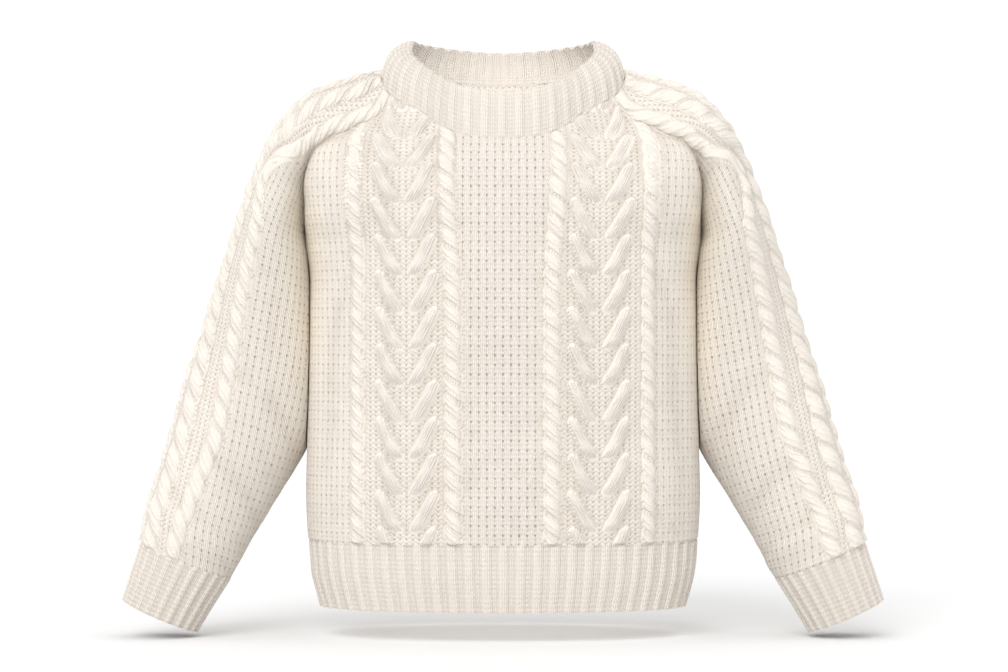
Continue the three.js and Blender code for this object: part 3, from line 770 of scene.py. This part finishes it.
def make_body(front):
    C, low, high = 320, 184, 104
    u = spread(None, -1, 1, C, body_density)
    fr = (u + 1) / 2
    g = body_grid(front, fr, low, high)
    n = normals(g, 0, not front)
    c = body_cloth(g, C // 2, BODY_FOLDS if front else BACK_FOLDS, 11 if front else 23)
    name = "front_panel" if front else "back_panel"
    o = build(name, g, n, c, 0, not front, 8, MAT_BODY, soften=True)
    return o


front = make_body(True)
back = make_body(False)
declare(front, "body_front")
declare(back, "body_back")

# -------------------------------------------------------------------- sleeves
SLEEVE_FOLDS = [  # x from the ridge, y up from the cuff, half length, half width, height, lean
    (-60, 60, 60, 16, -2.4, 20), (-120, 95, 70, 16, -2.6, 28), (60, 80, 60, 18, -2.2, -24),
    (-150, 170, 70, 18, -2.4, 35), (100, 190, 80, 20, -2.4, -30), (-110, 30, 60, 14, 2.2, 10),
    (140, 300, 60, 18, -2.0, -40),
]


def sleeve_cloth(grid, seed, hand):
    step = np.linalg.norm(np.diff(grid, axis=1), axis=2)
    run = np.concatenate([np.zeros((grid.shape[0], 1)), np.cumsum(step, axis=1)], axis=1)
    C = grid.shape[1] - 1
    ridge = int(np.argmin(np.abs(SLEEVE_U - 0.5)))
    x = run - run[:, ridge:ridge + 1]
    near = int(np.argmin(np.abs(SLEEVE_U - 0.36)))
    y = np.repeat(chords(grid[:, near])[:, None], C + 1, axis=1)
    c = Cloth(x, y)
    full = run[:, -1:]
    fl = -x[:, :1]                       # ridge to the front edge
    bl = x[:, -1:]
    size = np.clip(full / 420, 0.62, 1)
    in_cap = smooth((y - 400) / 70)
    reach = 88 * size * (1 - in_cap) + 96 * in_cap
    rope_f = -np.minimum(fl - 11.5, reach)
    gap = 44 * size * (1 - in_cap) + np.clip(-rope_f * 0.62, 24, 36) * in_cap
    mid = rope_f + gap
    rope_b = np.minimum(mid + gap, bl - 11.5)
    c.ground(x - (rope_f + rope_b) / 2, (rope_b - rope_f) / 2 + 11.5)
    c.rope(x - rope_f, 18.5, 24.0 + 4.0 * in_cap, 5.2 - 1.2 * in_cap, phase=0.1, hand=hand)
    c.rope(x - rope_b, 18.5, 24.0, 5.2, phase=0.6, hand=hand)
    c.rope(x - mid, 26.0, 29.0, 6.4, phase=0.3, hand=hand, lean=0.50, sts=2.0)
    near_body = np.exp(-(np.maximum(np.abs(grid[..., 0]) - 208, 0) / 22) ** 2) * smooth((-145 - grid[..., 2]) / 30)
    c.h = c.h + (0.5 * noise2(x, y, 14, seed) + 1.0 * noise2(x, y, 60, seed + 1)) * (1 - near_body)
    c.h = c.h + 3.5 * near_body
    c.fold(SLEEVE_FOLDS)
    # painted bounce light on the sleeve's inner side beside the body
    c.painted_bounce = np.exp(-(np.maximum(np.abs(grid[..., 0]) - 206, 0) / 15) ** 2) * smooth((-85 - grid[..., 2]) / 45)
    c.painted_bounce = c.painted_bounce * (1 - 0.6 * smooth((-250 - grid[..., 2]) / 90))
    return c


def ease_rows(g, at, reach, n):
    """Round off the fold where the tube meets the cap, away from the panel's edges."""
    soft = g.copy()
    for _ in range(3):
        pad = np.pad(soft, ((n, n), (0, 0), (0, 0)), mode="edge")
        run = np.cumsum(np.insert(pad, 0, 0, axis=0), axis=0)
        soft = (run[2 * n + 1:] - run[:-2 * n - 1]) / (2 * n + 1)
    rows = np.exp(-((np.arange(g.shape[0]) - at) / reach) ** 2)[:, None, None]
    u = np.linspace(0, 1, g.shape[1])
    cols = smooth(np.minimum(u, 1 - u) / 0.04)[None, :, None]
    return g + (soft - g) * rows * cols


def sleeve_density(u):
    return np.where((u > 0.22) & (u < 0.56), 1 / 1.2, 1 / 2.1)


SLEEVE_U = spread(None, 0, 1, 256, sleeve_density)


def make_sleeve(side):
    tube, cap = 224, 128
    g = sleeve_grid(SLEEVE_U, tube, cap)
    g = ease_rows(g, tube, 22, 7)
    if side < 0:
        g = g * np.array([-1, 1, 1])
    n = normals(g, tube + 1, side < 0)
    c = sleeve_cloth(g, 31 if side > 0 else 47, side)
    return build("sleeve_left_knit" if side > 0 else "sleeve_right_knit", g, n, c, tube + 1, side < 0, 8, MAT_SLEEVE, soften=True)


for side, node in ((1, "sleeve_left"), (-1, "sleeve_right")):
    o = make_sleeve(side)
    declare(o, node)

# ------------------------------------------------------------ hems and cuffs


def make_hem(front):
    C, n = 304, 36
    fr = np.linspace(0, 1, C + 1)
    g = hem_grid(front, fr, n)
    nr = normals(g, 0, not front)
    x, y = fabric_xy(g, C // 2)
    c = Cloth(x, y)
    c.rib(fr[None, :] * 30.5 + 0.25 + 0 * y, 2.2)
    c.h = c.h + 0.3 * noise2(x, y, 16, 5) + 0.5 * noise2(x, y, 60, 6)
    return build("hem_front_rib" if front else "hem_back_rib", g, nr, c, 0, not front, 4, MAT_RIB, free=("start",))


for f in (True, False):
    o = make_hem(f)
    declare(o, "hem_front" if f else "hem_back")


def make_cuff(side):
    C, n = 264, 36
    fr = np.linspace(0, 1, C + 1)
    g = cuff_grid(fr, n)
    if side < 0:
        g = g * np.array([-1, 1, 1])
    nr = normals(g, 99, side < 0)
    step = np.linalg.norm(np.diff(g, axis=1), axis=2)
    x = np.concatenate([np.zeros((n + 1, 1)), np.cumsum(step, axis=1)], axis=1)
    y = np.repeat(chords(g[:, C // 2])[:, None], C + 1, axis=1)
    c = Cloth(x, y)
    c.rib(fr[None, :] * 22 + 0 * y, 2.3)
    return build("cuff_left_rib" if side > 0 else "cuff_right_rib", g, nr, c, 99, side < 0, 2, MAT_RIB, free=("start",))


for side, node in ((1, "cuff_left"), (-1, "cuff_right")):
    o = make_cuff(side)
    declare(o, node)


def make_neck():
    C, n = 492, 28
    ts = np.linspace(-FRONT_CORNER, NECK_LEN - FRONT_CORNER, C + 1)
    g = neck_grid(ts, n)
    g[:, -1] = g[:, 0]
    nr = normals(g, 99, False)
    step = np.linalg.norm(np.diff(g, axis=1), axis=2)
    x = np.concatenate([np.zeros((n + 1, 1)), np.cumsum(step, axis=1)], axis=1)
    y = np.repeat(chords(g[:, 0])[:, None], C + 1, axis=1)
    c = Cloth(x, y)
    ribs = np.linspace(0, 1, C + 1)[None, :] * 41 + 0 * y
    c.rib(ribs, 2.2)
    up = np.linspace(0, 1, n + 1)[:, None]
    c.h = c.h * (1 - 0.6 * smooth((up - 0.86) / 0.14)) - 1.5 * smooth((up - 0.9) / 0.1)
    back = np.cos(2 * math.pi * ribs) * 1.6 * smooth((up - 0.14) / 0.1)
    inside = g - nr * (SHELL + back + 1.2 * smooth((0.16 - up) / 0.08))[..., None]
    inside[:, -1] = inside[:, 0]
    return build("neckband_rib", g, nr, c, 99, False, 1, MAT_RIB, free=("end",), inner_grid=inside)


o = make_neck()
declare(o, "neckband")

# ---------------------------------------------------- stage, light and camera
FLOOR_Z = -0.567
bpy.ops.mesh.primitive_plane_add(size=60, location=(0, 20, FLOOR_Z))
floor = bpy.context.object
floor.name = "floor"
fm = bpy.data.materials.new("floor_white")
fm.use_nodes = True
fb = fm.node_tree.nodes["Principled BSDF"]
fb.inputs["Base Color"].default_value = (0.80, 0.80, 0.80, 1)
fb.inputs["Roughness"].default_value = 0.9
fb.inputs["Specular IOR Level"].default_value = 0.1
floor.data.materials.append(fm)

world = bpy.data.worlds.new("world")
bpy.context.scene.world = world
world.use_nodes = True
world.node_tree.nodes["Background"].inputs[0].default_value = (1, 1, 1, 1)
world.node_tree.nodes["Background"].inputs[1].default_value = 1.06


def area(name, loc, aim, size, power, color=(1, 1, 1), spread_deg=180):
    d = bpy.data.lights.new(name, "AREA")
    d.shape = "RECTANGLE"
    d.size, d.size_y = size
    d.energy = power
    d.color = color
    d.spread = math.radians(spread_deg)
    ob = bpy.data.objects.new(name, d)
    bpy.context.scene.collection.objects.link(ob)
    ob.location = loc
    v = np.subtract(aim, loc)
    ob.rotation_euler = (math.atan2(math.hypot(v[0], v[1]), -v[2]), 0, math.atan2(v[1], v[0]) - math.pi / 2)
    return ob


sun_data = bpy.data.lights.new("key_sun", "SUN")
sun_data.energy = 1.5
sun_data.angle = math.radians(40)
sun = bpy.data.objects.new("key_sun", sun_data)
bpy.context.scene.collection.objects.link(sun)
sun.rotation_euler = (math.radians(54), 0, math.radians(-18))
# a soft light inside the body keeps the inside of the collar readable
area("inside_fill", (0, -0.05, -0.16), (0, 0.082, 0.035), (0.16, 0.06), 0.10, spread_deg=70)

area("under_fill", (0, 0, -0.42), (0, 0.001, -0.567), (0.34, 0.16), 0.20)

cam_data = bpy.data.cameras.new("camera")
cam = bpy.data.objects.new("camera", cam_data)
bpy.context.scene.collection.objects.link(cam)
cam.location = (0.001, -3.5, -0.2579)
cam.rotation_euler = (math.pi / 2, 0, 0)
cam_data.sensor_width = 36
cam_data.lens = 3365 / 1008 * 36
cam_data.clip_end = 200
bpy.context.scene.camera = cam
bpy.context.scene.view_settings.view_transform = "Standard"
